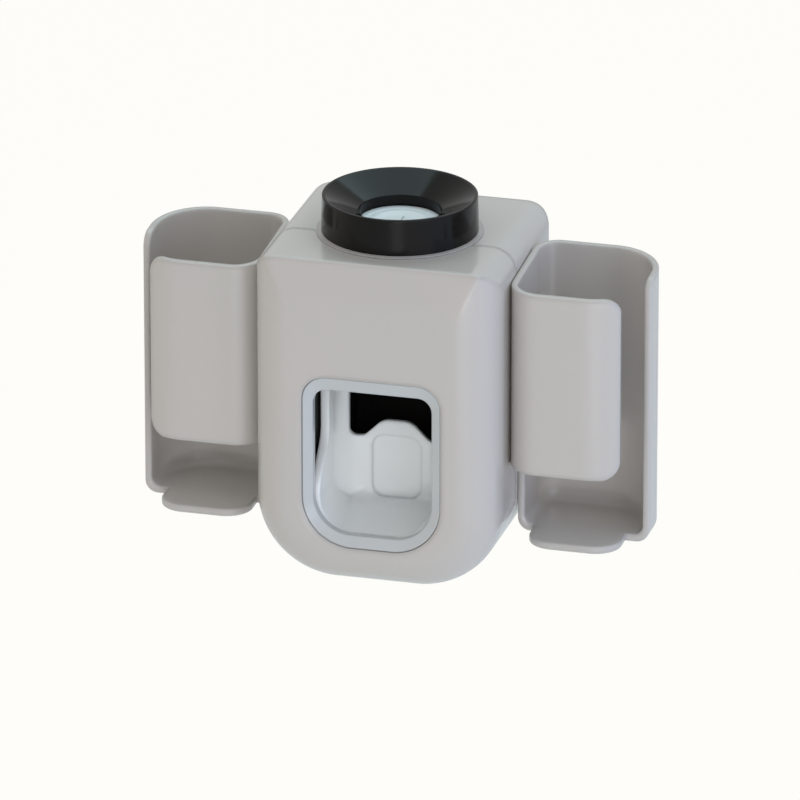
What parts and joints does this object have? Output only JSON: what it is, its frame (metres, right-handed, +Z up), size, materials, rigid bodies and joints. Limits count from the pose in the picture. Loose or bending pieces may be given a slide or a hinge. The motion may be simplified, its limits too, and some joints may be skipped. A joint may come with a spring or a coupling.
{
  "type": "toothpaste dispenser",
  "caption": "Wall-mounted toothpaste dispenser: a tube funnel on top, a push lever in a front window and open toothbrush holders at its sides.",
  "frame": {"origin": "centre of the adhesive face on the wall, at half the casing's height", "axes": "+X across the front, right as the user sees it; +Y into the wall; +Z up"},
  "size_m": [0.1414, 0.0626, 0.1035],
  "materials": {
    "casing_grey": "satin moulded",
    "frame_black": "matt moulded",
    "ring_black": "glossy moulded",
    "lever_white": "glossy moulded",
    "pump_white": "matt moulded",
    "silicone_white": "soft silicone",
    "steel": "bright zinc",
    "adhesive_pad": "double-sided acrylic tape"
  },
  "bodies": {
    "wall_mount": {"adhesive_pad": "adhesive_pad", "wall_plate": "casing_grey"},
    "housing": {"rear_housing": "casing_grey", "collar": "casing_grey", "collar_nut": "frame_black", "tube_seal": "silicone_white", "inner_frame": "frame_black", "frame_screws": "steel", "pump_body": "pump_white", "pump_screws": "steel", "inlet_valve": "silicone_white", "outlet_nozzle": "pump_white", "outlet_valve": "silicone_white", "bellows": "silicone_white", "return_spring": "steel", "pivot_pin": "steel", "pin_clips": "steel"},
    "cover": {"front_cover": "casing_grey", "window_frame": "casing_grey"},
    "lever": {"push_lever": "lever_white"},
    "push_cap": {"bellows_cap": "pump_white"},
    "funnel": {"funnel_ring": "ring_black"},
    "holder_right": {"right_holder": "casing_grey"},
    "holder_left": {"left_holder": "casing_grey"}
  },
  "joints": [
    {"name": "lift_off_wall", "type": "slide", "parent": "wall_mount", "child": "housing", "axis": [0, 0, 1], "range_m": [0, 0.06]},
    {"name": "cover_pull", "type": "slide", "parent": "housing", "child": "cover", "axis": [0, -1, 0], "range_m": [0, 0.04]},
    {"name": "lever_push", "type": "hinge", "parent": "housing", "child": "lever", "pos_m": [0, -0.033, 0.012], "axis": [1, 0, 0], "range_deg": [0, 12], "stiffness_Nm_per_rad": 0.1, "springref_deg": -14.32},
    {"name": "pump_stroke", "type": "slide", "parent": "housing", "child": "push_cap", "axis": [0, -1, 0], "range_m": [0, 0.0032], "deforming": ["bellows", "return_spring"]},
    {"name": "funnel_lift", "type": "slide", "parent": "housing", "child": "funnel", "axis": [0, 0, 1], "range_m": [0, 0.015]},
    {"name": "holder_right_lift", "type": "slide", "parent": "housing", "child": "holder_right", "axis": [0, 0, 1], "range_m": [0, 0.008]},
    {"name": "holder_left_lift", "type": "slide", "parent": "housing", "child": "holder_left", "axis": [0, 0, 1], "range_m": [0, 0.008]}
  ],
  "couplings": [
    {"joint": "pump_stroke", "follows": "lever_push", "m_per_rad": 0.0148}
  ]
}
